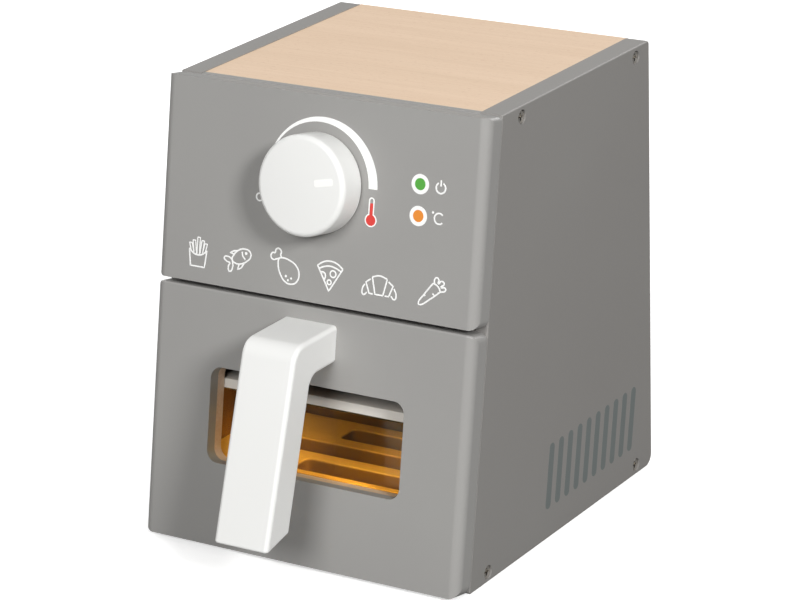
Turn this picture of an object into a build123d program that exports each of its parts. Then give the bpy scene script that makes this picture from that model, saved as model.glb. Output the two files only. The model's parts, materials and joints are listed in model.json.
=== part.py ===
# Wooden toy air fryer: a housing of painted boards with a leaning front, a turning knob,
# and a drawer with a window, a bent handle and a loose slotted grate.
# Millimetres. Origin: middle of the base board's underside. +Z up, +Y to the back, +X right.
import os
from math import atan, cos, degrees, sin

from build123d import *

os.makedirs("parts", exist_ok=True)

# Housing
body_width = 180.0
body_depth = 185.0
body_height = 225.0
front_slope = 0.18  # run to the back for each millimetre of rise
side_board = 12.0
top_board = 10.0
base_board = 10.0
back_board = 4.0
shelf_board = 4.4
groove_depth = 3.0
groove_play = 0.2
back_inset = 4.0  # from the housing's back edge to the back board
top_recess = 0.4  # the top board lies this far below the side panels' edges
side_corner_bottom_back = 6.0
side_corner_top_back = 2.0
side_corner_bottom_front = 1.5
side_arris = 0.8
base_front_setback = 2.5

# Leaning front boards, measured along the slope from the floor
front_board = 12.0
front_roundover = 5.0
control_bottom = 130.8
control_top_drop = 0.66  # of the panel's rear top edge below the side panels' top
control_corner_top = 2.0
control_corner_bottom = 4.0
seam = 2.2
drawer_front_bottom = 2.0
drawer_front_corner_top = 4.0
drawer_front_corner_bottom = 5.0
drawer_front_arris = 1.0
closing_gap = 0.3

# Strip between the control panel and the top board
rail_strip = 3.0
rail_height = 20.0

# Screws through the side panels
screw_shank_radius = 1.75
screw_head_radius = 3.2
screw_head = 2.4
screw_length = 32.0
screw_tip = 4.0
screw_sink = 0.9  # from the board's surface down to the head
screw_well_radius = 3.5
pilot_play = 0.05
cross_length = 3.8
cross_width = 0.9
cross_depth = 1.2
top_screw_inset_front = 14.6
top_screw_inset_back = 14.1
base_screw_inset_front = 15.1
base_screw_inset_back = 17.2

# Dowels between the front boards and what they are glued to
dowel_radius = 3.0
dowel_in_front = 8.0
dowel_in_side = 15.0
dowel_chamfer = 0.6
control_dowel_margin = 20.0
drawer_dowel_radius = 2.5
drawer_dowel_low = 30.0
drawer_dowel_high = 62.0

# Knob on its wooden spindle
knob_below_top = 41.6  # of the control panel, along the slope
knob_radius = 24.6
knob_thickness = 15.7
knob_gap = 0.7
knob_roundover = 4.0
knob_back_roundover = 0.6
spindle_radius = 5.0
spindle_play = 0.08
spindle_in_knob = 10.0
spindle_end_play = 0.4
washer_radius = 9.0
washer_thickness = 1.2
washer_hole_play = 0.4
knob_screw_length = 16.0

# Window in the drawer front, as wide as the drawer's inside and the pane's screws leave
window_height = 47.5
window_middle = 67.35
window_corner = 6.0
frame_border = 6.0
frame_thickness = 5.7
frame_play = 0.1
pane_thickness = 3.0
pane_side_play = 1.5
pane_below_window = 6.5
pane_shelf_gap = 0.6
pane_screw_shank_radius = 1.4
pane_screw_head_radius = 2.6
pane_screw_head = 1.6
pane_screw_length = 12.0
pane_screw_inset = 6.0
pane_screw_strip = 6.5  # beside the window's frame
pane_screw_side_inset = 3.2

# Drawer box
drawer_board = 8.0
drawer_side_play = 1.0
drawer_floor_gap = 0.3
drawer_top_gap = 1.4
drawer_rear_gap = 9.0  # between the drawer's side boards and the back board
drawer_back_inset = 2.0
drawer_bottom_board = 4.0
drawer_bottom_height = 4.0  # of the bottom board above the side boards' lower edge
drawer_groove = 3.0
shelf_height = 75.2
shelf_front_gap = 0.4  # behind the drawer front

# Grate and the ledges that carry it
grate_top = 40.0
grate_thickness = 8.0
grate_side_play = 0.5
grate_front_gap = 1.0  # behind the pane
grate_rear_gap = 8.6  # before the drawer's back, so that it lifts out along the lean
grate_front_rail = 3.0
grate_bar = 7.0
grate_slot = 14.4
grate_rear_rail = 12.0  # at least
grate_side_rail = 9.5
grate_short_slot_left = 17.0  # short slots start this far left of the middle
grate_slot_corner = 3.0
grate_corner = 3.0
ledge_width = 6.0
ledge_height = 6.0
ledge_front_setback = 1.0

# Handle
handle_width = 30.2
handle_top = 120.1
handle_arm = 17.9
handle_reach = 26.0  # of the outer bend's corner before the side panels' front edge
handle_foot = 27.8  # height of the foot's front edge
handle_foot_rise = 4.2  # from the foot's front edge to its rear edge
handle_foot_reach = 58.3
handle_foot_depth = 20.4
handle_bend_depth = 12.2  # from the outer bend's corner back to the inner bend's corner
handle_outer_bend = 10.0
handle_inner_bend = 7.5
handle_arris = 2.1
handle_foot_arris = 1.0
handle_screw_spacing = 15.0
handle_screw_shank_radius = 2.0
handle_screw_head_radius = 3.6
handle_screw_head = 2.6
handle_screw_length = 28.0

# Worked out
lean = atan(front_slope)
y_front = -body_depth / 2  # side panels' front edge at the floor
y_back = body_depth / 2
inner_x = body_width / 2 - side_board
top_surface = body_height - top_recess
top_underside = top_surface - top_board
back_board_rear = y_back - back_inset
back_board_front = back_board_rear - back_board
control_top = (body_height - control_top_drop + front_board * sin(lean)) / cos(lean)
knob_height_on_slope = control_top - knob_below_top
drawer_top_on_slope = control_bottom - seam
shelf_top = shelf_height + shelf_board

front_normal = (0, -cos(lean), sin(lean))
front_face = Plane(
    origin=(0, y_front - front_board / cos(lean), 0), x_dir=(1, 0, 0), z_dir=front_normal
)
front_back = front_face.offset(-front_board)
drawer_face = front_face.offset(closing_gap)
drawer_rear = drawer_face.offset(-front_board)
pane_rear = drawer_rear.offset(-pane_thickness)


def slope_y(height, plane):
    """The y of a leaning plane at a height above the floor."""
    return plane.origin.Y + (height - plane.origin.Z) * front_slope


def leaning_board(face, bottom, top, top_corner, bottom_corner):
    """One leaning front board: rounded front side edges, and rounded corners in front view."""
    across = Plane(
        origin=face.from_local_coords((0, bottom, 0)), x_dir=(1, 0, 0), z_dir=face.y_dir
    )
    with BuildPart() as board:
        with BuildSketch(across) as section:
            Rectangle(body_width, front_board, align=(Align.CENTER, Align.MIN))
            fillet(section.vertices().group_by(Axis.Y)[0], front_roundover)
        extrude(amount=top - bottom)
        with BuildSketch(face) as outline:
            with Locations((0, (bottom + top) / 2)):
                Rectangle(body_width, top - bottom)
            fillet(outline.vertices().group_by(Axis.Y)[-1], top_corner)
            fillet(outline.vertices().group_by(Axis.Y)[0], bottom_corner)
        extrude(amount=-front_board, mode=Mode.INTERSECT)
    return board.part


def wood_screw(seat, shank_radius, head_radius, head, length):
    """A cross-recess screw that points down its seat plane, with its head's top on the plane."""
    with BuildPart() as screw:
        with BuildSketch(Plane(origin=seat.origin, x_dir=seat.x_dir, z_dir=-seat.y_dir)) as half:
            with BuildLine():
                Polyline(
                    (0, 0),
                    (head_radius, 0),
                    (head_radius, -head / 2),
                    (shank_radius, -head),
                    (shank_radius, screw_tip - length),
                    (0, -length),
                    close=True,
                )
            make_face()
        revolve(axis=Axis(seat.origin, seat.z_dir))
        with BuildSketch(seat):
            Rectangle(cross_length, cross_width)
            Rectangle(cross_width, cross_length)
        extrude(amount=-cross_depth, mode=Mode.SUBTRACT)
    return screw.part


def dowel(plane, radius, ahead, behind):
    """A dowel square to a plane, reaching ahead of it and behind it."""
    with BuildPart() as pin:
        with BuildSketch(plane.offset(ahead)):
            Circle(radius)
        extrude(amount=-(ahead + behind))
        chamfer(pin.edges().filter_by(GeomType.CIRCLE), dowel_chamfer)
    return pin.part


# Where the screws sit in a side panel: y, z
top_screw_z = top_surface - top_board / 2
base_screw_z = base_board / 2
side_screw_places = [
    (y_front + body_height * front_slope + rail_strip + top_screw_inset_front, top_screw_z),
    (y_back - top_screw_inset_back, top_screw_z),
    (y_front + base_front_setback + base_screw_inset_front, base_screw_z),
    (y_back - base_screw_inset_back, base_screw_z),
]

# Where the control panel's dowels sit on the slope: x, height
control_dowel_places = [
    (sign * (body_width - side_board) / 2, height)
    for sign in (-1, 1)
    for height in (control_bottom + control_dowel_margin, control_top - control_dowel_margin)
]

# Side panels, each with a groove for the back board and one for the shelf
for side, sign in (("left", -1), ("right", 1)):
    outer_face = Plane(origin=(sign * body_width / 2, 0, 0), x_dir=(0, sign, 0), z_dir=(sign, 0, 0))
    with BuildPart() as panel:
        with BuildSketch(Plane.YZ.offset(sign * inner_x)) as outline:
            with BuildLine():
                Polyline(
                    (y_front, 0),
                    (y_back, 0),
                    (y_back, body_height),
                    (y_front + body_height * front_slope, body_height),
                    close=True,
                )
            make_face()
            fillet(outline.vertices().group_by(Axis.Y)[-1].sort_by(Axis.X)[-1], side_corner_top_back)
            fillet(outline.vertices().group_by(Axis.Y)[0].sort_by(Axis.X)[-1], side_corner_bottom_back)
            fillet(outline.vertices().group_by(Axis.Y)[0].sort_by(Axis.X)[0], side_corner_bottom_front)
        extrude(amount=sign * side_board)
        outer = panel.faces().filter_by(Axis.X).sort_by(Axis.X)[0 if sign < 0 else -1]
        fillet(outer.edges(), side_arris)
        with BuildSketch(Plane.YZ.offset(sign * inner_x)):
            with Locations((back_board_front, base_board - groove_depth)):
                Rectangle(
                    back_board,
                    top_underside - base_board + 2 * groove_depth,
                    align=(Align.MIN, Align.MIN),
                )
            with Locations((y_front, shelf_height)):
                Rectangle(back_board_rear - y_front, shelf_board, align=(Align.MIN, Align.MIN))
        extrude(amount=sign * groove_depth, mode=Mode.SUBTRACT)
        with Locations(
            *[
                Plane(origin=(sign * body_width / 2, y, z), x_dir=outer_face.x_dir, z_dir=outer_face.z_dir)
                for y, z in side_screw_places
            ]
        ):
            CounterBoreHole(
                screw_shank_radius + pilot_play, screw_well_radius, screw_sink + screw_head, side_board
            )
        with BuildSketch(front_back):
            with Locations(*[place for place in control_dowel_places if place[0] * sign > 0]):
                Circle(dowel_radius)
        extrude(amount=-dowel_in_side, mode=Mode.SUBTRACT)
    panel.part.label = f"{side}_side_panel"
    export_step(panel.part, f"parts/{side}_side_panel.step")

# Screws through the side panels into the top and base boards
for side, sign in (("left", -1), ("right", 1)):
    for number, (y, z) in enumerate(side_screw_places, start=1):
        seat = Plane(
            origin=(sign * (body_width / 2 - screw_sink), y, z), x_dir=(0, sign, 0), z_dir=(sign, 0, 0)
        )
        screw = wood_screw(seat, screw_shank_radius, screw_head_radius, screw_head, screw_length)
        screw.label = f"{side}_screw_{number}"
        export_step(screw, f"parts/{side}_screw_{number}.step")

# Top board, natural wood, with the screws' pilot holes in its ends
top_front = y_front + body_height * front_slope + rail_strip
pilot_depth = screw_length - side_board + screw_sink
with BuildPart() as top_panel:
    with BuildSketch(Plane.XY.offset(top_underside)):
        with Locations((0, (top_front + y_back) / 2)):
            Rectangle(2 * inner_x, y_back - top_front)
    extrude(amount=top_board)
    with BuildSketch(Plane.XY.offset(top_underside)):
        with Locations((0, back_board_front)):
            Rectangle(2 * inner_x, back_board, align=(Align.CENTER, Align.MIN))
    extrude(amount=groove_depth, mode=Mode.SUBTRACT)
    with Locations(
        *[
            Plane(origin=(sign * inner_x, y, z), x_dir=(0, 1, 0), z_dir=(sign, 0, 0))
            for sign in (-1, 1)
            for y, z in side_screw_places[:2]
        ]
    ):
        Hole(screw_shank_radius + pilot_play, depth=pilot_depth)
top_panel.part.label = "top_panel"
export_step(top_panel.part, "parts/top_panel.step")

# Base board
with BuildPart() as base_panel:
    with BuildSketch(Plane.XY):
        with Locations((0, (y_front + base_front_setback + y_back) / 2)):
            Rectangle(2 * inner_x, body_depth - base_front_setback)
    extrude(amount=base_board)
    with BuildSketch(Plane.XY.offset(base_board)):
        with Locations((0, back_board_front)):
            Rectangle(2 * inner_x, back_board, align=(Align.CENTER, Align.MIN))
    extrude(amount=-groove_depth, mode=Mode.SUBTRACT)
    with Locations(
        *[
            Plane(origin=(sign * inner_x, y, z), x_dir=(0, 1, 0), z_dir=(sign, 0, 0))
            for sign in (-1, 1)
            for y, z in side_screw_places[2:]
        ]
    ):
        Hole(screw_shank_radius + pilot_play, depth=pilot_depth)
base_panel.part.label = "base_panel"
export_step(base_panel.part, "parts/base_panel.step")

# Back board, held in grooves all round
with BuildPart() as back_panel:
    with BuildSketch(Plane.XZ.offset(-back_board_rear)):
        with Locations((0, (base_board + top_underside) / 2)):
            Rectangle(
                2 * (inner_x + groove_depth - groove_play),
                top_underside - base_board + 2 * (groove_depth - groove_play),
            )
    extrude(amount=back_board)
back_panel.part.label = "back_panel"
export_step(back_panel.part, "parts/back_panel.step")

# Thin shelf over the drawer, seen through the top of the window, its front edge planed to the lean
shelf_housed_x = inner_x + groove_depth - groove_play
with BuildPart() as drawer_shelf:
    with BuildSketch(Plane.YZ.offset(-shelf_housed_x)):
        with BuildLine():
            Polyline(
                (slope_y(shelf_height, drawer_rear) + shelf_front_gap, shelf_height),
                (back_board_front, shelf_height),
                (back_board_front, shelf_top),
                (slope_y(shelf_top, drawer_rear) + shelf_front_gap, shelf_top),
                close=True,
            )
        make_face()
    extrude(amount=2 * shelf_housed_x)
drawer_shelf.part.label = "drawer_shelf"
export_step(drawer_shelf.part, "parts/drawer_shelf.step")

# Wedge-shaped rail between the control panel and the top board
rail_bottom = top_surface - rail_height
with BuildPart() as front_top_rail:
    with BuildSketch(Plane.YZ.offset(-inner_x)):
        with BuildLine():
            Polyline(
                (y_front + rail_bottom * front_slope, rail_bottom),
                (top_front, rail_bottom),
                (top_front, top_surface),
                (y_front + top_surface * front_slope, top_surface),
                close=True,
            )
        make_face()
    extrude(amount=2 * inner_x)
front_top_rail.part.label = "front_top_rail"
export_step(front_top_rail.part, "parts/front_top_rail.step")

# Control panel with the spindle's bore
control_blank = leaning_board(
    front_face, control_bottom, control_top, control_corner_top, control_corner_bottom
)
with BuildPart() as control_panel:
    add(control_blank)
    with BuildSketch(front_face):
        with Locations((0, knob_height_on_slope)):
            Circle(spindle_radius + spindle_play)
    extrude(amount=-front_board, mode=Mode.SUBTRACT)
    with BuildSketch(front_back):
        with Locations(*control_dowel_places):
            Circle(dowel_radius)
    extrude(amount=dowel_in_front, mode=Mode.SUBTRACT)
control_panel.part.label = "control_panel"
export_step(control_panel.part, "parts/control_panel.step")

for number, place in enumerate(control_dowel_places, start=1):
    plane = Plane(
        origin=front_back.from_local_coords((*place, 0)), x_dir=(1, 0, 0), z_dir=front_normal
    )
    pin = dowel(plane, dowel_radius, dowel_in_front, dowel_in_side)
    pin.label = f"control_dowel_{number}"
    export_step(pin, f"parts/control_dowel_{number}.step")

# Knob, turned in one piece, with a blind bore for the spindle
knob_centre = front_face.from_local_coords((0, knob_height_on_slope, 0))
knob_seat = Plane(origin=knob_centre, x_dir=(1, 0, 0), z_dir=front_normal)
knob_section = Plane(origin=knob_centre, x_dir=(1, 0, 0), z_dir=-front_face.y_dir)
knob_axis = Axis(knob_centre, knob_seat.z_dir)
with BuildPart() as knob:
    with BuildSketch(knob_section) as half:
        with Locations((0, knob_gap)):
            Rectangle(knob_radius, knob_thickness, align=(Align.MIN, Align.MIN))
        rim = half.vertices().group_by(Axis.X)[-1].sort_by(Axis.Y)
        fillet(rim[-1], knob_roundover)
        rim = half.vertices().group_by(Axis.X)[-1].sort_by(Axis.Y)
        fillet(rim[0], knob_back_roundover)
        with Locations((0, knob_gap)):
            Rectangle(spindle_radius, spindle_in_knob, align=(Align.MIN, Align.MIN), mode=Mode.SUBTRACT)
    revolve(axis=knob_axis)
knob.part.label = "knob"
export_step(knob.part, "parts/knob.step")

# Spindle, glued into the knob, turning in the control panel
spindle_rear = -(front_board + spindle_end_play)
with BuildPart() as knob_spindle:
    with BuildSketch(knob_seat.offset(knob_gap + spindle_in_knob)):
        Circle(spindle_radius)
    extrude(amount=-(knob_gap + spindle_in_knob - spindle_rear))
    with BuildSketch(knob_seat.offset(spindle_rear)):
        Circle(screw_shank_radius + pilot_play)
    extrude(amount=knob_screw_length - washer_thickness - screw_head, mode=Mode.SUBTRACT)
knob_spindle.part.label = "knob_spindle"
export_step(knob_spindle.part, "parts/knob_spindle.step")

# Washer and screw that keep the spindle in the panel
with BuildPart() as knob_washer:
    with BuildSketch(knob_seat.offset(spindle_rear)):
        Circle(washer_radius)
        Circle(screw_shank_radius + washer_hole_play, mode=Mode.SUBTRACT)
    extrude(amount=-washer_thickness)
knob_washer.part.label = "knob_washer"
export_step(knob_washer.part, "parts/knob_washer.step")

knob_screw_seat = Plane(
    origin=knob_seat.from_local_coords((0, 0, spindle_rear - washer_thickness - screw_head)),
    x_dir=(1, 0, 0),
    z_dir=-knob_seat.z_dir,
)
with BuildPart() as knob_screw:
    with BuildSketch(knob_screw_seat):
        Circle(screw_head_radius)
    extrude(amount=-screw_head)
    with BuildSketch(knob_screw_seat):
        Circle(screw_shank_radius)
    extrude(amount=-knob_screw_length)
    with BuildSketch(knob_screw_seat):
        Rectangle(cross_length, cross_width)
        Rectangle(cross_width, cross_length)
    extrude(amount=-cross_depth, mode=Mode.SUBTRACT)
knob_screw.part.label = "knob_screw"
export_step(knob_screw.part, "parts/knob_screw.step")

# Drawer front with its window, a rear rebate for the window's frame, and screw holes
drawer_outer_x = inner_x - drawer_side_play
drawer_inner_x = drawer_outer_x - drawer_board
pane_half_width = drawer_inner_x - pane_side_play
window_width = 2 * (pane_half_width - pane_screw_strip - frame_border)
pane_bottom = window_middle - window_height / 2 - pane_below_window
pane_top = (shelf_height - pane_shelf_gap + front_board * sin(lean)) / cos(lean)
drawer_dowel_places = [
    (sign * (drawer_outer_x - drawer_board / 2), height)
    for sign in (-1, 1)
    for height in (drawer_dowel_low, drawer_dowel_high)
]
pane_screw_places = [
    (sign * (pane_half_width - pane_screw_side_inset), height)
    for sign in (-1, 1)
    for height in (pane_bottom + pane_screw_inset, pane_top - pane_screw_inset)
]
handle_screw_height = (handle_top - handle_arm / 2) / cos(lean)
handle_screw_places = [
    (sign * handle_screw_spacing / 2, handle_screw_height) for sign in (-1, 1)
]
drawer_blank = leaning_board(
    drawer_face,
    drawer_front_bottom,
    drawer_top_on_slope,
    drawer_front_corner_top,
    drawer_front_corner_bottom,
)
with BuildPart() as drawer_front:
    add(drawer_blank)
    top_face = drawer_front.faces().sort_by(Axis(drawer_face.origin, drawer_face.y_dir))[-1]
    fillet(top_face.edges().sort_by(Axis.Y)[0], drawer_front_arris)
    with BuildSketch(drawer_face):
        with Locations((0, window_middle)):
            RectangleRounded(window_width, window_height, window_corner)
    extrude(amount=-front_board, mode=Mode.SUBTRACT)
    with BuildSketch(drawer_rear):
        with Locations((0, window_middle)):
            RectangleRounded(
                window_width + 2 * frame_border,
                window_height + 2 * frame_border,
                window_corner + frame_border,
            )
    extrude(amount=frame_thickness, mode=Mode.SUBTRACT)
    with BuildSketch(drawer_rear):
        with Locations(*drawer_dowel_places):
            Circle(drawer_dowel_radius)
    extrude(amount=dowel_in_front, mode=Mode.SUBTRACT)
    with BuildSketch(drawer_rear):
        with Locations(*pane_screw_places):
            Circle(pane_screw_shank_radius + pilot_play)
    extrude(amount=pane_screw_length - pane_thickness, mode=Mode.SUBTRACT)
    with BuildSketch(drawer_rear):
        with Locations(*handle_screw_places):
            Circle(handle_screw_shank_radius + pilot_play)
    extrude(amount=front_board, mode=Mode.SUBTRACT)
    with BuildSketch(drawer_rear):
        with Locations(*handle_screw_places):
            Circle(handle_screw_head_radius + pilot_play)
    extrude(amount=handle_screw_head, mode=Mode.SUBTRACT)
drawer_front.part.label = "drawer_front"
export_step(drawer_front.part, "parts/drawer_front.step")

# Natural wood frame that lines the window's rear half
with BuildPart() as window_frame:
    with BuildSketch(drawer_rear):
        with Locations((0, window_middle)):
            RectangleRounded(
                window_width + 2 * (frame_border - frame_play),
                window_height + 2 * (frame_border - frame_play),
                window_corner + frame_border - frame_play,
            )
            RectangleRounded(window_width, window_height, window_corner, mode=Mode.SUBTRACT)
    extrude(amount=frame_thickness)
window_frame.part.label = "window_frame"
export_step(window_frame.part, "parts/window_frame.step")

# Clear amber pane, screwed behind the drawer front, low enough to pass under the shelf
with BuildPart() as window_pane:
    with BuildSketch(drawer_rear):
        with Locations((0, (pane_bottom + pane_top) / 2)):
            Rectangle(2 * pane_half_width, pane_top - pane_bottom)
        with Locations(*pane_screw_places):
            Circle(pane_screw_shank_radius + pilot_play, mode=Mode.SUBTRACT)
    extrude(amount=-pane_thickness)
    with BuildSketch(pane_rear):
        with Locations(*pane_screw_places):
            Circle(pane_screw_head_radius + pilot_play)
    extrude(amount=pane_screw_head, mode=Mode.SUBTRACT)
window_pane.part.label = "window_pane"
export_step(window_pane.part, "parts/window_pane.step")

for number, place in enumerate(pane_screw_places, start=1):
    seat = Plane(
        origin=pane_rear.from_local_coords((*place, 0)), x_dir=(1, 0, 0), z_dir=-pane_rear.z_dir
    )
    with BuildPart() as pane_screw:
        with BuildSketch(seat):
            Circle(pane_screw_head_radius)
        extrude(amount=-pane_screw_head)
        with BuildSketch(seat):
            Circle(pane_screw_shank_radius)
        extrude(amount=-pane_screw_length)
    pane_screw.part.label = f"pane_screw_{number}"
    export_step(pane_screw.part, f"parts/pane_screw_{number}.step")

# Drawer side boards, grooved for the bottom and housed for the back
drawer_bottom_z = base_board + drawer_floor_gap
drawer_top_z = shelf_height - drawer_top_gap
drawer_rear_y = back_board_front - drawer_rear_gap
drawer_back_rear = drawer_rear_y - drawer_back_inset
drawer_back_front = drawer_back_rear - drawer_board
bottom_board_z = drawer_bottom_z + drawer_bottom_height
bottom_board_top = bottom_board_z + drawer_bottom_board
for side, sign in (("left", -1), ("right", 1)):
    with BuildPart() as drawer_side:
        with BuildSketch(Plane.YZ.offset(sign * drawer_inner_x)):
            with BuildLine():
                Polyline(
                    (slope_y(drawer_bottom_z, drawer_rear), drawer_bottom_z),
                    (drawer_rear_y, drawer_bottom_z),
                    (drawer_rear_y, drawer_top_z),
                    (slope_y(drawer_top_z, drawer_rear), drawer_top_z),
                    close=True,
                )
            make_face()
        extrude(amount=sign * drawer_board)
        with BuildSketch(Plane.YZ.offset(sign * drawer_inner_x)):
            with Locations((y_front, bottom_board_z)):
                Rectangle(
                    drawer_back_rear - y_front, drawer_bottom_board, align=(Align.MIN, Align.MIN)
                )
            with Locations((drawer_back_front, bottom_board_z)):
                Rectangle(drawer_board, drawer_top_z - bottom_board_z, align=(Align.MIN, Align.MIN))
        extrude(amount=sign * drawer_groove, mode=Mode.SUBTRACT)
        with BuildSketch(drawer_rear):
            with Locations(*[place for place in drawer_dowel_places if place[0] * sign > 0]):
                Circle(drawer_dowel_radius)
        extrude(amount=-dowel_in_side, mode=Mode.SUBTRACT)
    drawer_side.part.label = f"drawer_{side}_side"
    export_step(drawer_side.part, f"parts/drawer_{side}_side.step")

for number, place in enumerate(drawer_dowel_places, start=1):
    plane = Plane(
        origin=drawer_rear.from_local_coords((*place, 0)), x_dir=(1, 0, 0), z_dir=front_normal
    )
    pin = dowel(plane, drawer_dowel_radius, dowel_in_front, dowel_in_side)
    pin.label = f"drawer_dowel_{number}"
    export_step(pin, f"parts/drawer_dowel_{number}.step")

# Drawer back, housed in the side boards, standing on the bottom board
drawer_housed_x = drawer_inner_x + drawer_groove - groove_play
with BuildPart() as drawer_back:
    with BuildSketch(Plane.XZ.offset(-drawer_back_rear)):
        with Locations((0, bottom_board_top)):
            Rectangle(
                2 * drawer_housed_x, drawer_top_z - bottom_board_top, align=(Align.CENTER, Align.MIN)
            )
    extrude(amount=drawer_board)
drawer_back.part.label = "drawer_back"
export_step(drawer_back.part, "parts/drawer_back.step")

# Drawer bottom, its front edge against the leaning front
with BuildPart() as drawer_bottom:
    with BuildSketch(Plane.YZ.offset(-drawer_housed_x)):
        with BuildLine():
            Polyline(
                (slope_y(bottom_board_z, drawer_rear), bottom_board_z),
                (drawer_back_rear, bottom_board_z),
                (drawer_back_rear, bottom_board_top),
                (slope_y(bottom_board_top, drawer_rear), bottom_board_top),
                close=True,
            )
        make_face()
    extrude(amount=2 * drawer_housed_x)
drawer_bottom.part.label = "drawer_bottom"
export_step(drawer_bottom.part, "parts/drawer_bottom.step")

# Ledges on the drawer sides, under the grate
ledge_top = grate_top - grate_thickness
grate_front_y = slope_y(grate_top, pane_rear) + grate_front_gap
ledge_front = grate_front_y + ledge_front_setback
for side, sign in (("left", -1), ("right", 1)):
    with BuildPart() as ledge:
        with BuildSketch(Plane.YZ.offset(sign * drawer_inner_x)):
            with Locations((ledge_front, ledge_top)):
                Rectangle(
                    drawer_back_front - ledge_front, ledge_height, align=(Align.MIN, Align.MAX)
                )
        extrude(amount=-sign * ledge_width)
    ledge.part.label = f"grate_ledge_{side}"
    export_step(ledge.part, f"parts/grate_ledge_{side}.step")

# Loose slotted grate: every second slot runs the full width, the others stop short on the left
grate_half_width = drawer_inner_x - grate_side_play
grate_pitch = grate_bar + grate_slot
grate_length = drawer_back_front - grate_rear_gap - grate_front_y
slots_length = grate_length - grate_front_rail - grate_rear_rail + grate_bar
grate_slots = int(slots_length / grate_pitch)
slot_right = grate_half_width - grate_side_rail
with BuildPart() as grate:
    with BuildSketch(Plane.XY.offset(grate_top)):
        with Locations((0, grate_front_y + grate_length / 2)):
            RectangleRounded(2 * grate_half_width, grate_length, grate_corner)
        for row in range(grate_slots):
            slot_left = -grate_short_slot_left if row % 2 == 0 else -slot_right
            slot_middle = grate_front_y + grate_front_rail + grate_slot / 2 + row * grate_pitch
            with Locations(((slot_left + slot_right) / 2, slot_middle)):
                RectangleRounded(
                    slot_right - slot_left, grate_slot, grate_slot_corner, mode=Mode.SUBTRACT
                )
    extrude(amount=-grate_thickness)
grate.part.label = "grate"
export_step(grate.part, "parts/grate.step")

# Handle: a level arm from the drawer front that bends down into a tapering grip
arm_bottom = handle_top - handle_arm
outer_corner_y = y_front - handle_reach
with BuildPart() as handle:
    with BuildSketch(Plane.YZ.offset(-handle_width / 2)) as profile:
        with BuildLine():
            Polyline(
                (slope_y(handle_top, drawer_face), handle_top),
                (outer_corner_y, handle_top),
                (y_front - handle_foot_reach, handle_foot),
                (y_front - handle_foot_reach + handle_foot_depth, handle_foot + handle_foot_rise),
                (outer_corner_y + handle_bend_depth, arm_bottom),
                (slope_y(arm_bottom, drawer_face), arm_bottom),
                close=True,
            )
        make_face()
        fillet(profile.vertices().group_by(Axis.Y)[-1].sort_by(Axis.X)[0], handle_outer_bend)
        inner = profile.vertices().sort_by_distance((outer_corner_y + handle_bend_depth, arm_bottom))
        fillet(inner[0], handle_inner_bend)
    extrude(amount=handle_width)
    arrises = handle.faces().filter_by(Axis.X).edges()
    root = handle.faces().sort_by(Axis.Y)[-1].edges()
    foot = handle.faces().sort_by(Axis.Z)[0].edges()
    fillet([edge for edge in arrises if edge not in root and edge not in foot], handle_arris)
    fillet(handle.faces().sort_by(Axis.Z)[0].edges(), handle_foot_arris)
    with BuildSketch(drawer_face):
        with Locations(*handle_screw_places):
            Circle(handle_screw_shank_radius + pilot_play)
    extrude(amount=handle_screw_length - front_board, mode=Mode.SUBTRACT)
handle.part.label = "handle"
export_step(handle.part, "parts/handle.step")

for number, place in enumerate(handle_screw_places, start=1):
    seat = Plane(
        origin=drawer_rear.from_local_coords((*place, 0)), x_dir=(1, 0, 0), z_dir=-drawer_rear.z_dir
    )
    screw = wood_screw(
        seat,
        handle_screw_shank_radius,
        handle_screw_head_radius,
        handle_screw_head,
        handle_screw_length,
    )
    screw.label = f"handle_screw_{number}"
    export_step(screw, f"parts/handle_screw_{number}.step")

print("lean of the front, degrees:", round(degrees(lean), 2))
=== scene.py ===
import json
from math import asin, cos, degrees, radians, sin, tan

import bpy
from mathutils import Matrix, Quaternion, Vector


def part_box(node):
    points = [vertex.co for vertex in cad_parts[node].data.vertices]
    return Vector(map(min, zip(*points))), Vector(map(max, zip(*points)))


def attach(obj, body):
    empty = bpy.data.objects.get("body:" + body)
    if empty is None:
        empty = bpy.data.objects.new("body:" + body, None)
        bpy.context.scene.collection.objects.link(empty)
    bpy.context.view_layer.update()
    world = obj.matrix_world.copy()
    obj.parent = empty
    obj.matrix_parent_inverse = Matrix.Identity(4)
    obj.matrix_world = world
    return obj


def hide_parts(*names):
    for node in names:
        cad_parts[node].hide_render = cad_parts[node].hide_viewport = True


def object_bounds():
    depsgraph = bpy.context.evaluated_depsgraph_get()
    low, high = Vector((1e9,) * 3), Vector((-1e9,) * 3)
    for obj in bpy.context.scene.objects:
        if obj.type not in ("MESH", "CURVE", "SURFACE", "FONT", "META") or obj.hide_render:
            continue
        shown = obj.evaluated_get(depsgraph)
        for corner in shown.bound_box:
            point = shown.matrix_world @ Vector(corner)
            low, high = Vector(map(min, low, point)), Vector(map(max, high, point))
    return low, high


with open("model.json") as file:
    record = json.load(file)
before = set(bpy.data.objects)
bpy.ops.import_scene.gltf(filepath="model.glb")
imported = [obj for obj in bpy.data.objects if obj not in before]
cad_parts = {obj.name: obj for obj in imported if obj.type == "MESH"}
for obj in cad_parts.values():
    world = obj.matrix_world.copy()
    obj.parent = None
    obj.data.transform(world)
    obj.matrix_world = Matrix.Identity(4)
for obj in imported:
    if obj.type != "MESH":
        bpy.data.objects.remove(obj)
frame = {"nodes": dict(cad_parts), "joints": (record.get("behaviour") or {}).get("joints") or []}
cad_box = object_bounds()
nodes = frame["nodes"]
mm = 0.001
bpy.ops.object.select_all(action="DESELECT")


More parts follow.
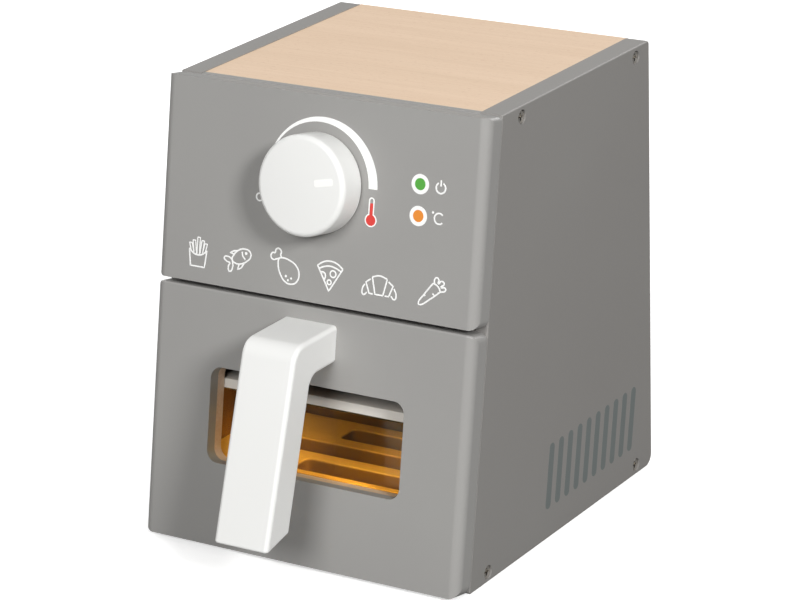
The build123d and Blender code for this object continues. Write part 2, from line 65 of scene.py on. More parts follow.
# Housing boards and the drawer front: 12 mm and 10 mm board, cut, rounded over and sanded,
# then sprayed with satin paint. The front boards lean back with the side panels' front edges.
def linear(code):
    """An sRGB hex value, as a paint chart gives it, as the linear colour that shaders take."""
    parts = [int(code[at : at + 2], 16) / 255 for at in (1, 3, 5)]
    return [p / 12.92 if p <= 0.04045 else ((p + 0.055) / 1.055) ** 2.4 for p in parts] + [1.0]


def add_node(material, kind, inputs=None, **settings):
    """A shader node with its settings, and its inputs as values or as other nodes' outputs."""
    node = material.node_tree.nodes.new(kind)
    for name, value in settings.items():
        setattr(node, name, value)
    for socket, value in (inputs or {}).items():
        if isinstance(value, bpy.types.NodeSocket):
            material.node_tree.links.new(value, node.inputs[socket])
        else:
            node.inputs[socket].default_value = value
    return node


def new_material(name):
    """An empty node material and its output node."""
    material = bpy.data.materials.new(name)
    material.use_nodes = True
    material.node_tree.nodes.clear()
    return material, add_node(material, "ShaderNodeOutputMaterial")


def per_metre(size_mm):
    """How many features of a size in millimetres fit in a metre, which is a texture's scale."""
    return 1000 / size_mm


def sprayed_paint(name, colour, shaded_colour, roughness, drift_mm=70, mist_mm=1.4):
    """Satin acrylic paint sprayed on sanded board. The spray leaves a soft orange peel, and the
    coat is a little thinner in places, so the colour drifts over a hand's width."""
    material, output = new_material(name)
    place = add_node(material, "ShaderNodeTexCoord").outputs["Object"]
    drift = add_node(material, "ShaderNodeTexNoise", {
        "Vector": place, "Scale": per_metre(drift_mm), "Detail": 2.0, "Roughness": 0.4,
    })
    mist = add_node(material, "ShaderNodeTexNoise", {
        "Vector": place, "Scale": per_metre(mist_mm), "Detail": 3.0, "Roughness": 0.55,
    })
    tone = add_node(material, "ShaderNodeMix", {
        "Factor": drift.outputs["Fac"], 6: linear(shaded_colour), 7: linear(colour),
    }, data_type="RGBA")
    sheen = add_node(material, "ShaderNodeMapRange", {
        "Value": mist.outputs["Fac"], "To Min": roughness - 0.05, "To Max": roughness + 0.06,
    })
    peel = add_node(material, "ShaderNodeBump", {
        "Height": mist.outputs["Fac"], "Strength": 0.35, "Distance": 0.03 * mm,
    })
    paint = add_node(material, "ShaderNodeBsdfPrincipled", {
        "Base Color": tone.outputs[2], "Roughness": sheen.outputs["Result"],
        "Normal": peel.outputs["Normal"], "IOR": 1.46,
    })
    material.node_tree.links.new(paint.outputs["BSDF"], output.inputs["Surface"])
    return material


def finish_node(node_name, material):
    """Gives a CAD node its finish."""
    mesh = nodes[node_name].data
    mesh.materials.clear()
    mesh.materials.append(material)


front_paint = sprayed_paint("warm grey satin paint", "#a09f9c", "#9b9997", 0.35)
# The side panels' paint is drawn darker than the front's, partly as painted shade for the weaker
# light on the sides.
side_paint_with_painted_shade = sprayed_paint("warm grey satin paint with painted shade, side panels", "#92908d", "#8e8b88", 0.5)
for board in ("control_panel", "drawer_front", "front_top_rail", "base_panel"):
    finish_node(board, front_paint)
for board in ("left_side_panel", "right_side_panel"):
    finish_node(board, side_paint_with_painted_shade)


# Vent marks: ten slanted strokes on each side panel, screen printed in dark grey ink. They stand
# low down towards the back, and lean as the panel's front edge does.
vent_count = 10
vent_pitch = 9.37 * mm
vent_width = 4.9 * mm
vent_bottom = 15.4 * mm
vent_top = 48.2 * mm
vent_first = -19.4 * mm  # of the first stroke's line, carried down to the floor
ink_height = 0.05 * mm  # that a mark stands out of the paint, and as much lies in it
knob_turn = next(joint for joint in frame["joints"] if joint["name"] == "knob_turn")
face_out = Vector(knob_turn["axis"]).normalized()
lean = asin(face_out.z)


def printed_ink(name, colour):
    """Screen printing ink, which lies thinly on the paint and dries matt and even. The screen's
    mesh leaves a faint mottle, which is drawn coarser than life so that it shows."""
    material, output = new_material(name)
    place = add_node(material, "ShaderNodeTexCoord").outputs["Object"]
    mottle = add_node(material, "ShaderNodeTexNoise", {
        "Vector": place, "Scale": per_metre(0.9), "Detail": 2.0,
    })
    sheen = add_node(material, "ShaderNodeMapRange", {
        "Value": mottle.outputs["Fac"], "To Min": 0.48, "To Max": 0.6,
    })
    cover = add_node(material, "ShaderNodeMapRange", {
        "Value": mottle.outputs["Fac"], "To Min": 0.97, "To Max": 1.03,
    })
    tone = add_node(material, "ShaderNodeHueSaturation", {
        "Color": linear(colour), "Value": cover.outputs["Result"],
    })
    ink = add_node(material, "ShaderNodeBsdfPrincipled", {
        "Base Color": tone.outputs["Color"], "Roughness": sheen.outputs["Result"], "IOR": 1.45,
    })
    material.node_tree.links.new(ink.outputs["BSDF"], output.inputs["Surface"])
    return material


def join_marks(marks, name, material, place=Matrix.Identity(4)):
    """Joins marks into one piece, lays it in place and gives it its ink or paint."""
    bpy.ops.object.select_all(action="DESELECT")
    for mark in marks:
        mark.select_set(True)
    bpy.context.view_layer.objects.active = marks[0]
    bpy.ops.object.transform_apply()
    if len(marks) > 1:
        bpy.ops.object.join()
    piece = bpy.context.object
    piece.matrix_world = place
    bpy.ops.object.transform_apply()
    piece.name = name
    piece.data.name = name
    piece.data.materials.append(material)
    return piece


# One stroke is a disc of ink whose upper half is drawn out to the stroke's length.
bpy.ops.mesh.primitive_cylinder_add(vertices=32, radius=vent_width / 2, depth=2 * ink_height)
stroke = bpy.context.object
bpy.ops.object.mode_set(mode="EDIT")
bpy.ops.mesh.select_all(action="DESELECT")
bpy.ops.object.mode_set(mode="OBJECT")
for corner in stroke.data.vertices:
    corner.select = corner.co.y > 0.05 * vent_width
bpy.ops.object.mode_set(mode="EDIT")
bpy.ops.transform.translate(value=(0, (vent_top - vent_bottom) / cos(lean) - vent_width, 0))
bpy.ops.object.mode_set(mode="OBJECT")

foot_z = vent_bottom + vent_width / 2
face_sideways = Matrix(((0, 0, 1), (1, 0, 0), (0, 1, 0))).to_4x4()
stand_up = Matrix.Rotation(-lean, 4, "X") @ face_sideways
vent_ink = printed_ink("dark grey ink", "#727877")
for side, sign in (("left", -1), ("right", 1)):
    strokes = []
    for number in range(vent_count):
        copied_stroke = stroke.copy()
        copied_stroke.data = stroke.data.copy()
        bpy.context.collection.objects.link(copied_stroke)
        foot_y = vent_first + number * vent_pitch + foot_z * tan(lean)
        foot = Matrix.Translation((sign * cad_box[1].x, foot_y, foot_z))
        copied_stroke.matrix_world = foot @ stand_up
        strokes.append(copied_stroke)
    vents = join_marks(strokes, f"{side}_vent_marks", vent_ink)
    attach(vents, "housing")
bpy.data.objects.remove(stroke)


# Back board and the shelf over the drawer: boards of 4 and 4.4 mm, sprayed a paler grey and let
# into grooves in the side panels. The shelf's front edge shows through the window.
thin_board_paint = sprayed_paint("pale grey satin paint", "#d6d2ca", "#cfcbc4", 0.5)
for board in ("back_panel", "drawer_shelf"):
    finish_node(board, thin_board_paint)


# Top board and dowels: bare beech, planed and fine sanded, under a thin matt lacquer. The top's
# grain runs from side to side and a dowel's along it, with the short dark flecks of beech.
across = 0  # the number of the axis that the grain follows
front_to_back = 1


def bare_beech(name, grain, pale="#edd1b5", dark="#e6c9ac", fleck="#cda686", scorched_and_shaded_below=None):
    """Lacquered beech with its grain along one axis. Pores and rings show as thin streaks, and
    the rays as flecks 3 mm long; all are drawn a little coarser than life, so that they show.
    A laser browns the walls that it cuts, here all below the board's upper face; the browning is
    drawn dark, as painted shade in the slots too."""
    material, output = new_material(name)
    place = add_node(material, "ShaderNodeTexCoord").outputs["Object"]
    figure = {}
    for feature, across_mm, along_mm, noise in (
        ("streaks", 1.5, 55, {"Detail": 5.0, "Roughness": 0.6, "Distortion": 0.25}),
        ("rings", 14, 260, {"Detail": 2.0, "Distortion": 0.6}),
        ("flecks", 0.7, 3.2, {"Detail": 1.0}),
    ):
        scale = [per_metre(across_mm)] * 3
        scale[grain] = per_metre(along_mm)
        along_grain = add_node(material, "ShaderNodeMapping", {"Vector": place, "Scale": scale})
        figure[feature] = add_node(material, "ShaderNodeTexNoise", {
            "Vector": along_grain.outputs["Vector"], "Scale": 1.0, **noise,
        }).outputs["Fac"]
    grain_tone = add_node(material, "ShaderNodeMath", {
        0: figure["streaks"], 1: figure["rings"],
    }, operation="ADD")
    grain_share = add_node(material, "ShaderNodeMapRange", {
        "Value": grain_tone.outputs["Value"], "From Min": 0.72, "From Max": 1.28,
    })
    fleck_share = add_node(material, "ShaderNodeMapRange", {
        "Value": figure["flecks"], "From Min": 0.63, "From Max": 0.72, "To Max": 0.4,
    })
    tone = add_node(material, "ShaderNodeMix", {
        "Factor": grain_share.outputs["Result"], 6: linear(pale), 7: linear(dark),
    }, data_type="RGBA")
    flecked = add_node(material, "ShaderNodeMix", {
        "Factor": fleck_share.outputs["Result"], 6: tone.outputs[2], 7: linear(fleck),
    }, data_type="RGBA")
    colour = flecked.outputs[2]
    # Below the upper face: laser scorch, drawn dark as painted shade in the slots.
    if scorched_and_shaded_below is not None:
        level = add_node(material, "ShaderNodeSeparateXYZ", {"Vector": place})
        scorch_and_shade = add_node(material, "ShaderNodeMapRange", {
            "Value": level.outputs["Z"], "From Min": scorched_and_shaded_below - 0.15 * mm,
            "From Max": scorched_and_shaded_below - 1.2 * mm, "To Max": 0.92,
        })
        colour = add_node(material, "ShaderNodeMix", {
            "Factor": scorch_and_shade.outputs["Result"], 6: colour, 7: linear("#6e4e31"),
        }, data_type="RGBA").outputs[2]
    sheen = add_node(material, "ShaderNodeMapRange", {
        "Value": figure["streaks"], "To Min": 0.42, "To Max": 0.6,
    })
    pores = add_node(material, "ShaderNodeBump", {
        "Height": figure["streaks"], "Strength": 0.3, "Distance": 0.05 * mm,
    })
    wood = add_node(material, "ShaderNodeBsdfPrincipled", {
        "Base Color": colour, "Roughness": sheen.outputs["Result"],
        "Normal": pores.outputs["Normal"], "IOR": 1.48,
    })
    material.node_tree.links.new(wood.outputs["BSDF"], output.inputs["Surface"])
    return material


finish_node("top_panel", bare_beech("beech, grain across", across))
dowel_beech = bare_beech("beech, grain front to back", front_to_back)
for dowel in [name for name in nodes if "dowel" in name or name == "knob_spindle"]:
    finish_node(dowel, dowel_beech)


# Drawer box and ledges: thin beech boards, drawn redder and much darker than the top as painted
# shade. They close the drawer in behind the window, so the deep corners stay dark.
box_wood_painted_shade = {"pale": "#83634d", "dark": "#735443", "fleck": "#5d4433"}
box_across = bare_beech("beech darkened as painted shade, grain across", across, **box_wood_painted_shade)
box_deep = bare_beech("beech darkened as painted shade, grain front to back", front_to_back, **box_wood_painted_shade)
for board in ("drawer_back", "drawer_bottom"):
    finish_node(board, box_across)
for board in ("drawer_left_side", "drawer_right_side", "grate_ledge_left", "grate_ledge_right"):
    finish_node(board, box_deep)


# Grate: 8 mm beech, loose on its two ledges, its upper face drawn paler than the top as
# painted light. Its slots are cut by laser, and all under the upper face is browned dark: scorch,
# and painted shade in the slots.
grate_beech = bare_beech(
    "beech, laser cut, painted light and shade", across, pale="#f8e4ca", dark="#efd3b3", fleck="#d3ab84",
    scorched_and_shaded_below=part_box("grate")[1].z,
)
finish_node("grate", grate_beech)


# Window frame: a beech ring, cut from a 5.7 mm slip, sanded and glued into the drawer front's
# rear rebate. It stands in the window's depth, so a slip of warm wood edges the opening.
frame_beech = bare_beech("beech, window frame", across, pale="#e8d0b8", dark="#d6b797")
finish_node("window_frame", frame_beech)


# Screws and the knob's washer: bright zinc on steel, the screws pressed with a cross recess.
# Those in the side panels sit in wells, a little under the face.
def zinc_plate(name):
    """Bright zinc plating: pale, slightly warm metal, with fine drawing marks from the press
    that are drawn coarser than life so that they show."""
    material, output = new_material(name)
    place = add_node(material, "ShaderNodeTexCoord").outputs["Object"]
    marks = add_node(material, "ShaderNodeTexNoise", {
        "Vector": place, "Scale": per_metre(0.6), "Detail": 3.0,
    })
    sheen = add_node(material, "ShaderNodeMapRange", {
        "Value": marks.outputs["Fac"], "To Min": 0.06, "To Max": 0.14,
    })
    bite = add_node(material, "ShaderNodeBump", {
        "Height": marks.outputs["Fac"], "Strength": 0.3, "Distance": 0.02 * mm,
    })
    plating = add_node(material, "ShaderNodeBsdfPrincipled", {
        "Base Color": linear("#dedad4"), "Metallic": 1.0,
        "Roughness": sheen.outputs["Result"], "Normal": bite.outputs["Normal"],
    })
    material.node_tree.links.new(plating.outputs["BSDF"], output.inputs["Surface"])
    return material


zinc = zinc_plate("bright zinc plate")
for fastener in [name for name in nodes if "screw" in name or name == "knob_washer"]:
    finish_node(fastener, zinc)


# Knob: a beech disc turned with a soft front edge and sprayed white. Its edge is a little
# tighter than the solid's, so this disc replaces it. A bar of brighter enamel is its pointer.
knob_radius = 24.3 * mm
knob_soft_edge = 2.7 * mm
knob_back_edge = 0.6 * mm
pointer_length = 10.4 * mm
pointer_width = 3.5 * mm
pointer_corner = 0.9 * mm
pointer_middle = Vector((12.95, 3.25)) * mm
pointer_turn = radians(11)
white_paint = sprayed_paint("warm white satin paint", "#f1f1ef", "#ecece9", 0.38, mist_mm=1.2)
knob_middle = Vector(knob_turn["pos_m"])
sideways = Vector((1, 0, 0))
face_axes = Matrix((sideways, face_out.cross(sideways), face_out)).transposed()
panel_place = Matrix.Translation(knob_middle) @ face_axes.to_4x4()
knob_heights = [
    (corner.co - knob_middle).dot(face_out) for corner in nodes["knob"].data.vertices
]
knob_back, knob_face = min(knob_heights), max(knob_heights)
knob_depth = knob_face - knob_back


def round_edges(piece, is_picked, width, segments):
    """Rounds those edges of a piece that a test of their two ends picks."""
    bpy.ops.object.mode_set(mode="EDIT")
    bpy.ops.mesh.select_mode(type="EDGE")
    bpy.ops.mesh.select_all(action="DESELECT")
    bpy.ops.object.mode_set(mode="OBJECT")
    for edge in piece.data.edges:
        edge.select = is_picked(*(piece.data.vertices[index].co for index in edge.vertices))
    bpy.ops.object.mode_set(mode="EDIT")
    bpy.ops.mesh.bevel(offset=width, segments=segments)
    bpy.ops.object.mode_set(mode="OBJECT")


bpy.ops.mesh.primitive_cylinder_add(
    vertices=144, radius=knob_radius, depth=knob_depth,
    location=(0, 0, (knob_face + knob_back) / 2),
)
disc = bpy.context.object
almost_half = 0.49 * knob_depth
round_edges(disc, lambda a, b: min(a.z, b.z) > almost_half, knob_soft_edge, segments=8)
round_edges(disc, lambda a, b: max(a.z, b.z) < -almost_half, knob_back_edge, segments=8)
bpy.ops.object.shade_smooth_by_angle(angle=radians(25))
turned_knob = join_marks([disc], "turned_knob", white_paint, panel_place)
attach(turned_knob, "knob_assembly")
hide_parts("knob")

bpy.ops.mesh.primitive_cube_add(
    size=1, location=(*pointer_middle, 0), rotation=(0, 0, pointer_turn)
)
bar = bpy.context.object
bar.scale = (pointer_length, pointer_width, 2 * ink_height)
bpy.ops.object.transform_apply(location=False, rotation=False)
round_edges(bar, lambda a, b: abs(a.z - b.z) > ink_height, pointer_corner, segments=5)
pointer_enamel = printed_ink("white enamel", "#fffffc")
pointer_place = panel_place @ Matrix.Translation((0, 0, knob_face))
pointer = join_marks([bar], "knob_pointer", pointer_enamel, pointer_place)
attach(pointer, "knob_assembly")


# Temperature scale round the knob: a white crescent that swells clockwise from a hair's line
# at nine o'clock to its full width at three. It is screen printed on the control panel.
scale_outer_middle = Vector((1.46, 0.33, 0)) * mm
scale_outer_radius = 31.13 * mm
scale_inner_middle = Vector((-0.59, 0.57, 0)) * mm
scale_inner_radius = 28.33 * mm
scale_end = 0.9 * mm
white_ink = printed_ink("white ink", "#fbfbf9")


def print_on_panel(marks, name, ink=white_ink):
    """Prints marks on the control panel, as one piece in one ink."""
    piece = join_marks(marks, name, ink, panel_place)
    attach(piece, "housing")


bpy.ops.mesh.primitive_cylinder_add(
    vertices=180, radius=scale_outer_radius, depth=2 * ink_height, location=scale_outer_middle
)
crescent = bpy.context.object
bpy.ops.mesh.primitive_cylinder_add(
    vertices=180, radius=scale_inner_radius, depth=8 * ink_height, location=scale_inner_middle
)
hole = bpy.context.object
bpy.ops.object.select_all(action="DESELECT")
crescent.select_set(True)
bpy.context.view_layer.objects.active = crescent
cut = crescent.modifiers.new("hole", "BOOLEAN")
cut.object = hole
cut.solver = "EXACT"
bpy.ops.object.modifier_apply(modifier=cut.name)
bpy.data.objects.remove(hole)
bpy.ops.object.transform_apply()
bpy.ops.object.mode_set(mode="EDIT")
bpy.ops.mesh.select_all(action="SELECT")
bpy.ops.mesh.bisect(
    plane_co=(0, scale_end, 0), plane_no=(0, 1, 0), clear_inner=True, use_fill=True
)
bpy.ops.object.mode_set(mode="OBJECT")
print_on_panel([crescent], "temperature_scale")


# Off mark: a small open ring at the scale's low end, half behind the knob's edge as the
# camera sees it. The line drawings' sizes are in millimetres, from the knob's axis or from
# a drawing's own middle.
line_width = 0.85
off_mark_x = -32.8
off_mark_y = -11.3
off_mark_radius = 1.8
off_mark_line_width = 0.8


def ink_ring(x, y, radius, middle=(0, 0), width=line_width):
    """A printed ring, with its radius at the line's middle."""
    bpy.ops.mesh.primitive_torus_add(
        location=((middle[0] + x) * mm, (middle[1] + y) * mm, 0),
        major_radius=radius * mm, minor_radius=width / 2 * mm,
        major_segments=40, minor_segments=8,
    )
    ring = bpy.context.object
    ring.scale.z = ink_height / (width / 2 * mm)
    return ring


off_ring = ink_ring(off_mark_x, off_mark_y, off_mark_radius, width=off_mark_line_width)
print_on_panel([off_ring], "off_mark")


# Thermometer mark under the scale's high end: a white outline with a red bulb and a red
# column that stops short of its round top. Two inks, printed one after the other.
thermometer_x = 29.9
bulb_y = -13.8
bulb_radius = 2.93
tube_radius = 1.23
tube_top_y = -4.5
outline_width = 0.75
column_top_y = -5.75
column_width = 2 * tube_radius - 0.7
red_bulb_radius = bulb_radius - 0.3


def ink_line(points, middle=(0, 0), width=line_width, curved=False, closed=False):
    """A printed line through points. An open straight line gets a point on both sides of each
    corner, which keeps its full width up to there."""
    if not curved and not closed:
        threes = zip(points, points[1:], points[2:])
        corners = [[Vector(point) for point in three] for three in threes]
        points = [points[0]] + [
            corner + (end - corner) * min(width / (end - corner).length, 0.4) * share
            for before, corner, after in corners
            for end, share in ((before, 1), (after, 0), (after, 1))
        ] + [points[-1]]
    bpy.ops.curve.primitive_bezier_curve_add()
    path = bpy.context.object.data
    path.splines.clear()
    spline = path.splines.new("BEZIER")
    spline.bezier_points.add(len(points) - 1)
    for knot, (x, y) in zip(spline.bezier_points, points):
        knot.co = ((middle[0] + x) * mm, (middle[1] + y) * mm, 0)
        knot.handle_left_type = "AUTO" if curved else "VECTOR"
        knot.handle_right_type = knot.handle_left_type
    spline.use_cyclic_u = closed
    spline.resolution_u = 10 if curved else 1
    path.bevel_depth = width / 2 * mm
    path.bevel_resolution = 2
    path.use_fill_caps = True
    bpy.ops.object.convert(target="MESH")
    line = bpy.context.object
    line.scale.z = ink_height / (width / 2 * mm)
    return line


def ink_disc(x, y, radius, middle=(0, 0), height=ink_height):
    """A printed solid dot."""
    bpy.ops.mesh.primitive_cylinder_add(
        vertices=64, radius=radius * mm, depth=2 * height,
        location=((middle[0] + x) * mm, (middle[1] + y) * mm, 0),
    )
    return bpy.context.object


def arc(middle_x, middle_y, radius, start, end, steps):
    """Points on an arc, from one angle to another in degrees, anticlockwise from the right."""
    angles = [radians(start + (end - start) * step / steps) for step in range(steps + 1)]
    return [(middle_x + radius * cos(a), middle_y + radius * sin(a)) for a in angles]


shoulder = 90 - degrees(asin(tube_radius / bulb_radius))
outline = ink_line(
    arc(thermometer_x, bulb_y, bulb_radius, shoulder, -180 - shoulder, 24)
    + arc(thermometer_x, tube_top_y, tube_radius, 180, 0, 8),
    width=outline_width, closed=True,
)
print_on_panel([outline], "thermometer_outline")

column = ink_line([(thermometer_x, bulb_y), (thermometer_x, column_top_y)], width=column_width)
bulb = ink_disc(thermometer_x, bulb_y, red_bulb_radius)
print_on_panel([bulb, column], "thermometer_column", printed_ink("red ink", "#db433d"))


# Pilot lights at the panel's right: a green and an orange dot, each on a wider white dot,
# with the power sign beside the upper one and a degree sign with its C beside the lower one.
lights = (("green", 6.9, "#56a842"), ("orange", -8.1, "#ea8f35"))
light_x = 55.6
light_radius = 2.85
white_dot_radius = 4.75
power_sign = (66.7, 6.5)
power_line_width = 0.9
degree_sign = (66.8, -7.9)
sign_radius = 2.55
print_on_panel(
    [ink_disc(light_x, y, white_dot_radius, height=0.6 * ink_height) for hue, y, colour in lights],
    "pilot_light_rings",
)
for hue, light_y, colour in lights:
    dot = ink_disc(light_x, light_y, light_radius)
    print_on_panel([dot], f"{hue}_pilot_light", printed_ink(f"{hue} ink", colour))
print_on_panel([
    ink_line(arc(0, 0, sign_radius, 118, 422, 20), power_sign, power_line_width),
    ink_line([(0, 0.8), (0, 3.7)], power_sign, power_line_width),
    ink_line(arc(0, 0, sign_radius, 42, 318, 20), degree_sign),
    ink_disc(-3.4, 2.6, 0.6, degree_sign),
], "panel_signs")


# Food pictures along the control panel's foot, six plain line drawings in white ink. First a
# box of chips: a tapering box with a dipped mouth, and five sticks that fan out of it.
chips = (-66.6, -43.2)
chip_width = 1.5
chip_line_width = 0.65
chips_lines = [
    ink_line([(-5.1, 1.5), (-4.1, -6.9), (4.1, -6.9), (5.1, 1.5)], chips),
    ink_line([(-5.1, 1.5), (-2.7, -0.6), (0, -1.3), (2.7, -0.6), (5.1, 1.5)], chips, curved=True),
]
for foot_x, foot_y, top_x, top_y in (
    (-3.2, 0.1, -4.5, 4.3), (-1.6, -0.8, -2.5, 5.7), (0.1, -1.1, 0.2, 7.4),
    (1.8, -0.8, 2.7, 6.0), (3.4, 0.1, 4.5, 4.7),
):
    chips_lines.append(ink_line(
        [
            (foot_x - chip_width / 2, foot_y),
            (top_x - chip_width / 2, top_y),
            (top_x + chip_width / 2, top_y),
            (foot_x + chip_width / 2, foot_y),
        ],
        chips, chip_line_width,
    ))
print_on_panel(chips_lines, "chips_picture")


# Fish: a plump body that rises to the right, with an eye, a gill line, two fins and a
# forked tail.
fish = (-43.6, -43.6)
print_on_panel([
    ink_line(
        [(-3, -0.2), (-1.8, 2.7), (0.7, 5), (4, 5.9), (7, 5), (7.6, 2.8), (5.6, 0.2), (2.2, -1.6),
         (-1, -1.7)],
        fish, curved=True, closed=True,
    ),
    ink_line([(2.5, 4.5), (3, 2.5), (4.6, 0.8)], fish, curved=True),
    ink_disc(4.9, 3.9, 0.75, fish),
    ink_line([(0, 4.5), (-2.2, 4.2), (-4.3, 3), (-1.8, 2.6)], fish),
    ink_line([(1.2, -1.9), (0.4, -4.6), (2.6, -3.4), (4, -0.9)], fish),
    ink_line([(-3, -0.2), (-5, 0.9), (-7.6, 0.2), (-6.2, -1.3), (-4, -1.9)], fish, curved=True),
    ink_line([(-4, -1.9), (-5, -3.9), (-4.1, -6.1), (-2.5, -4), (-3, -0.2)], fish, curved=True),
], "fish_picture")


# Chicken leg: a pear-shaped piece with three dots, on a bone that ends in two knuckles. Like the
# other pictures it is drawn in lines alone, with the grey paint between them.
leg = (-16.3, -42.7)
print_on_panel([
    ink_line(
        [(-3.3, 3.5), (-3.8, 0), (-2.1, -4.4), (0.6, -7.3), (4.2, -8), (7.3, -6.2), (8.2, -2.3),
         (6.4, 1.2), (2.2, 3.4), (-1, 4)],
        leg, curved=True, closed=True,
    ),
    ink_line(
        [(-3.4, 3.6), (-4.7, 3.1), (-6.8, 2.5), (-8.2, 3.9), (-7.4, 5.7), (-6, 5.9), (-5.4, 7.6),
         (-3.8, 8.2), (-2.4, 6.9), (-2.7, 5.2), (-1.9, 3.9)],
        leg, curved=True,
    ),
    ink_disc(0.9, -4.5, 0.65, leg),
    ink_disc(4, -5.2, 0.55, leg),
    ink_disc(2.2, -6.3, 0.55, leg),
], "chicken_leg_picture")


# Slice of pizza, point down: a crust between two arcs, and three round toppings, one of them
# cut by the slice's edge.
pizza = (9.1, -43.7)
topping_line_width = 0.75
print_on_panel([
    ink_line([(-7, 4.4), (0, -7.1), (7.2, 4.4)], pizza),
    ink_line([(-7, 4.4), (-4, 6.4), (0.1, 7.3), (4.2, 6.4), (7.2, 4.4)], pizza, curved=True),
    ink_line([(-6.2, 3), (-3.3, 4.3), (0.1, 4.9), (3.4, 4.3), (6.4, 3)], pizza, curved=True),
    ink_ring(0, -2.8, 1.1, pizza, topping_line_width),
    ink_ring(1.9, 1.4, 1.6, pizza, topping_line_width),
    ink_line([(-5.2, 1.5), (-3.3, 1.5), (-2.3, -0.2), (-3, -2)], pizza, curved=True),
], "pizza_picture")


# Croissant: a wide middle roll with a rounded top, and on each side a narrower roll and a
# curled tip.
croissant = (36.9, -44.2)
croissant_lines = [
    ink_line([(-4.1, 3.9), (-2.2, -4.2), (2.2, -4.2), (4.1, 3.9)], croissant),
    ink_line([(-4.1, 3.9), (0, 4.9), (4.1, 3.9)], croissant, curved=True),
]
for sign in (-1, 1):
    roll = [(sign * x, y) for x, y in ((4.9, 2.8), (7.5, 1), (5.4, -4.2), (3.3, -4.2))]
    tip = [(sign * x, y) for x, y in ((8, 0), (9.3, -2.5), (8.7, -5.1), (6.6, -3.8))]
    croissant_lines += [ink_line(roll, croissant), ink_line(tip, croissant, curved=True)]
print_on_panel(croissant_lines, "croissant_picture")


# Carrot, point down to the left: a tapering root with two ticks, and a tuft of three leaves in
# one scalloped line.
carrot = (65.7, -42.4)
print_on_panel([
    ink_line(
        [(0.2, 4), (-4.3, -1.9), (-7.1, -6.5), (-6.6, -7.1), (-0.8, -3.6), (4.3, 0.5)],
        carrot, curved=True,
    ),
    ink_line([(0.2, 4), (1.9, 3.5), (3.5, 2.1), (4.3, 0.5)], carrot, curved=True),
    ink_line(
        [(0.9, 4.1), (0.9, 6), (2.1, 6.9), (3.2, 5.9), (3, 4.3), (4.4, 5.5), (5.8, 5.3), (5.9, 3.9),
         (4.6, 2.8), (6.7, 2.7), (7.1, 1.6), (4.4, 0.4)],
        carrot, curved=True,
    ),
    ink_line([(-4.5, -1.9), (-3.7, -2.6)], carrot),
    ink_line([(0.2, -0.8), (1.3, -1.7)], carrot),
], "carrot_picture")


# Window pane: 3 mm cast acrylic, clear amber with polished faces and the faint waves of a cast
# sheet, screwed behind the drawer front. The wood behind it glows orange.
pane_amber = "#ffde84"
lamp_through_pane = "#ffebb4"
amber_acrylic, output = new_material("clear amber acrylic")
place = add_node(amber_acrylic, "ShaderNodeTexCoord").outputs["Object"]
cast_waves = add_node(amber_acrylic, "ShaderNodeTexNoise", {
    "Vector": place, "Scale": per_metre(25), "Detail": 1.0,
})
waves = add_node(amber_acrylic, "ShaderNodeBump", {
    "Height": cast_waves.outputs["Fac"], "Strength": 0.1, "Distance": 0.05 * mm,
})
clear = add_node(amber_acrylic, "ShaderNodeBsdfPrincipled", {
    "Base Color": linear(pane_amber), "Roughness": 0.03, "IOR": 1.49,
    "Transmission Weight": 1.0, "Normal": waves.outputs["Normal"],
})
# Refraction would keep the lamps' light out, so it passes straight through, tinted.
let_through = add_node(amber_acrylic, "ShaderNodeBsdfTransparent", {
    "Color": linear(lamp_through_pane),
})
ray = add_node(amber_acrylic, "ShaderNodeLightPath")
pane = add_node(amber_acrylic, "ShaderNodeMixShader", {
    0: ray.outputs["Is Shadow Ray"], 1: clear.outputs["BSDF"], 2: let_through.outputs["BSDF"],
})
amber_acrylic.node_tree.links.new(pane.outputs["Shader"], output.inputs["Surface"])
finish_node("window_pane", amber_acrylic)


# Handle: sawn from solid beech in one piece, rounded over and sprayed white like the knob. Two
# screws from behind hold it to the drawer front.
finish_node("handle", white_paint)


# Studio: a pale floor that is white paper for the camera and keeps a soft shadow, a large soft
# lamp before the front, a smaller one at its right, and weak ones behind and at the left.
floor_width = 6.0
paper_lift = 0.55
eye_level_white = 0.32  # of the white overhead
dim_room_strength = 0.045
bpy.ops.mesh.primitive_plane_add(size=floor_width)
floor = bpy.context.object
floor.name = "floor"
paper, output = new_material("white paper")
ray = add_node(paper, "ShaderNodeLightPath")
# The object finds a greyer paper under it than the camera does.
under_object = add_node(paper, "ShaderNodeBsdfDiffuse", {"Color": linear("#7f7f7e")})
matt = add_node(paper, "ShaderNodeBsdfDiffuse", {"Color": linear("#e9e9e8")})
lift = add_node(paper, "ShaderNodeEmission", {"Color": (1, 1, 1, 1), "Strength": paper_lift})
before_camera = add_node(paper, "ShaderNodeAddShader", {
    0: matt.outputs["BSDF"], 1: lift.outputs["Emission"],
})
shown = add_node(paper, "ShaderNodeMixShader", {
    0: ray.outputs["Is Camera Ray"],
    1: under_object.outputs["BSDF"], 2: before_camera.outputs["Shader"],
})
paper.node_tree.links.new(shown.outputs["Shader"], output.inputs["Surface"])
floor.data.materials.append(paper)

object_middle = (cad_box[0] + cad_box[1]) / 2


def soft_lamp(name, turn, height, distance, size, power):
    """A square soft lamp that looks at the object. Its place is turned from the front to the
    right and raised, in degrees."""
    turn, height = radians(turn), radians(height)
    away = Vector((sin(turn) * cos(height), -cos(turn) * cos(height), sin(height)))
    bpy.ops.object.light_add(type="AREA", location=object_middle + away * distance)
    lamp = bpy.context.object
    lamp.name = name
    lamp.data.shape = "SQUARE"
    lamp.data.size = size
    lamp.data.energy = power
    lamp.rotation_euler = away.to_track_quat("Z", "Y").to_euler()


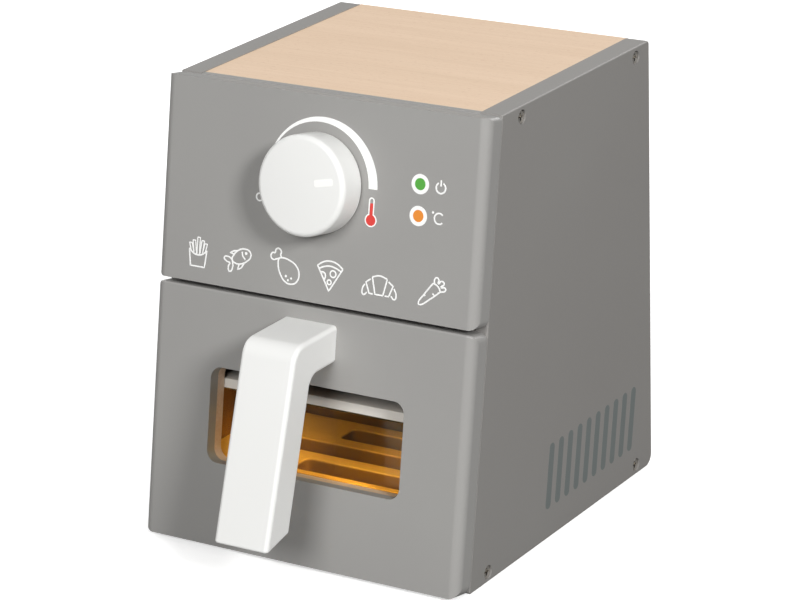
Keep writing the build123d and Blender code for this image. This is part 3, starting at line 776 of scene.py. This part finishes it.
soft_lamp("front lamp", turn=8, height=28, distance=2.6, size=1.1, power=37.5)
soft_lamp("right lamp", turn=58, height=28, distance=2.6, size=0.5, power=45.5)
soft_lamp("back lamp", turn=170, height=34, distance=1.9, size=1.2, power=15.0)
soft_lamp("left lamp", turn=-112, height=22, distance=1.9, size=1.0, power=15.5)

world = bpy.data.worlds.new("white studio")
world.use_nodes = True
world.node_tree.nodes.clear()
bpy.context.scene.world = world
output = add_node(world, "ShaderNodeOutputWorld")
ray = add_node(world, "ShaderNodeLightPath")
towards = add_node(world, "ShaderNodeTexCoord")
raised = add_node(world, "ShaderNodeSeparateXYZ", {"Vector": towards.outputs["Generated"]})
overhead = add_node(world, "ShaderNodeMapRange", {
    "Value": raised.outputs["Z"], "From Min": 0.3, "From Max": 0.95, "To Min": eye_level_white,
})
# The room is white for the camera, through the pane, and where paint or metal mirrors it, there
# whitest overhead.
mirrored = add_node(world, "ShaderNodeMath", {
    0: ray.outputs["Is Glossy Ray"], 1: overhead.outputs["Result"],
}, operation="MULTIPLY")
seen_or_mirrored = add_node(world, "ShaderNodeMath", {
    0: ray.outputs["Is Camera Ray"], 1: mirrored.outputs["Value"],
}, operation="MAXIMUM")
white_share = add_node(world, "ShaderNodeMath", {
    0: seen_or_mirrored.outputs["Value"], 1: ray.outputs["Is Transmission Ray"],
}, operation="MAXIMUM")
# Light that a matt surface has scattered finds the dim room alone, so the lamps do the lighting.
unscattered = add_node(world, "ShaderNodeMath", {
    0: ray.outputs["Diffuse Depth"], 1: 0.5,
}, operation="LESS_THAN")
white_part = add_node(world, "ShaderNodeMath", {
    0: white_share.outputs["Value"], 1: unscattered.outputs["Value"],
}, operation="MULTIPLY")
white = add_node(world, "ShaderNodeBackground", {"Color": (1, 1, 1, 1), "Strength": 1.0})
dim_room = add_node(world, "ShaderNodeBackground", {
    "Color": linear("#f4f6f8"), "Strength": dim_room_strength,
})
around = add_node(world, "ShaderNodeMixShader", {
    0: white_part.outputs["Value"],
    1: dim_room.outputs["Background"], 2: white.outputs["Background"],
})
world.node_tree.links.new(around.outputs["Shader"], output.inputs["Surface"])


# Camera, at the photograph's place: to the right of the front and above the top, with a long
# lens. It looks ahead, turned to the left, tilted down and rolled a little, all in radians.
camera_place = Vector((0.8431, -1.3403, 0.6679))
camera_turn = 0.56243
camera_tilt = 0.3421
camera_roll = -0.0322
look = Vector((
    -sin(camera_turn) * cos(camera_tilt), cos(camera_turn) * cos(camera_tilt), -sin(camera_tilt)
))
bpy.ops.object.camera_add(location=camera_place)
camera = bpy.context.object
camera.data.lens = 152.35
camera.data.sensor_width = 36
camera.rotation_euler = (
    look.to_track_quat("-Z", "Y") @ Quaternion((0, 0, 1), camera_roll)
).to_euler()
bpy.context.scene.camera = camera
bpy.context.scene.view_settings.view_transform = "Standard"
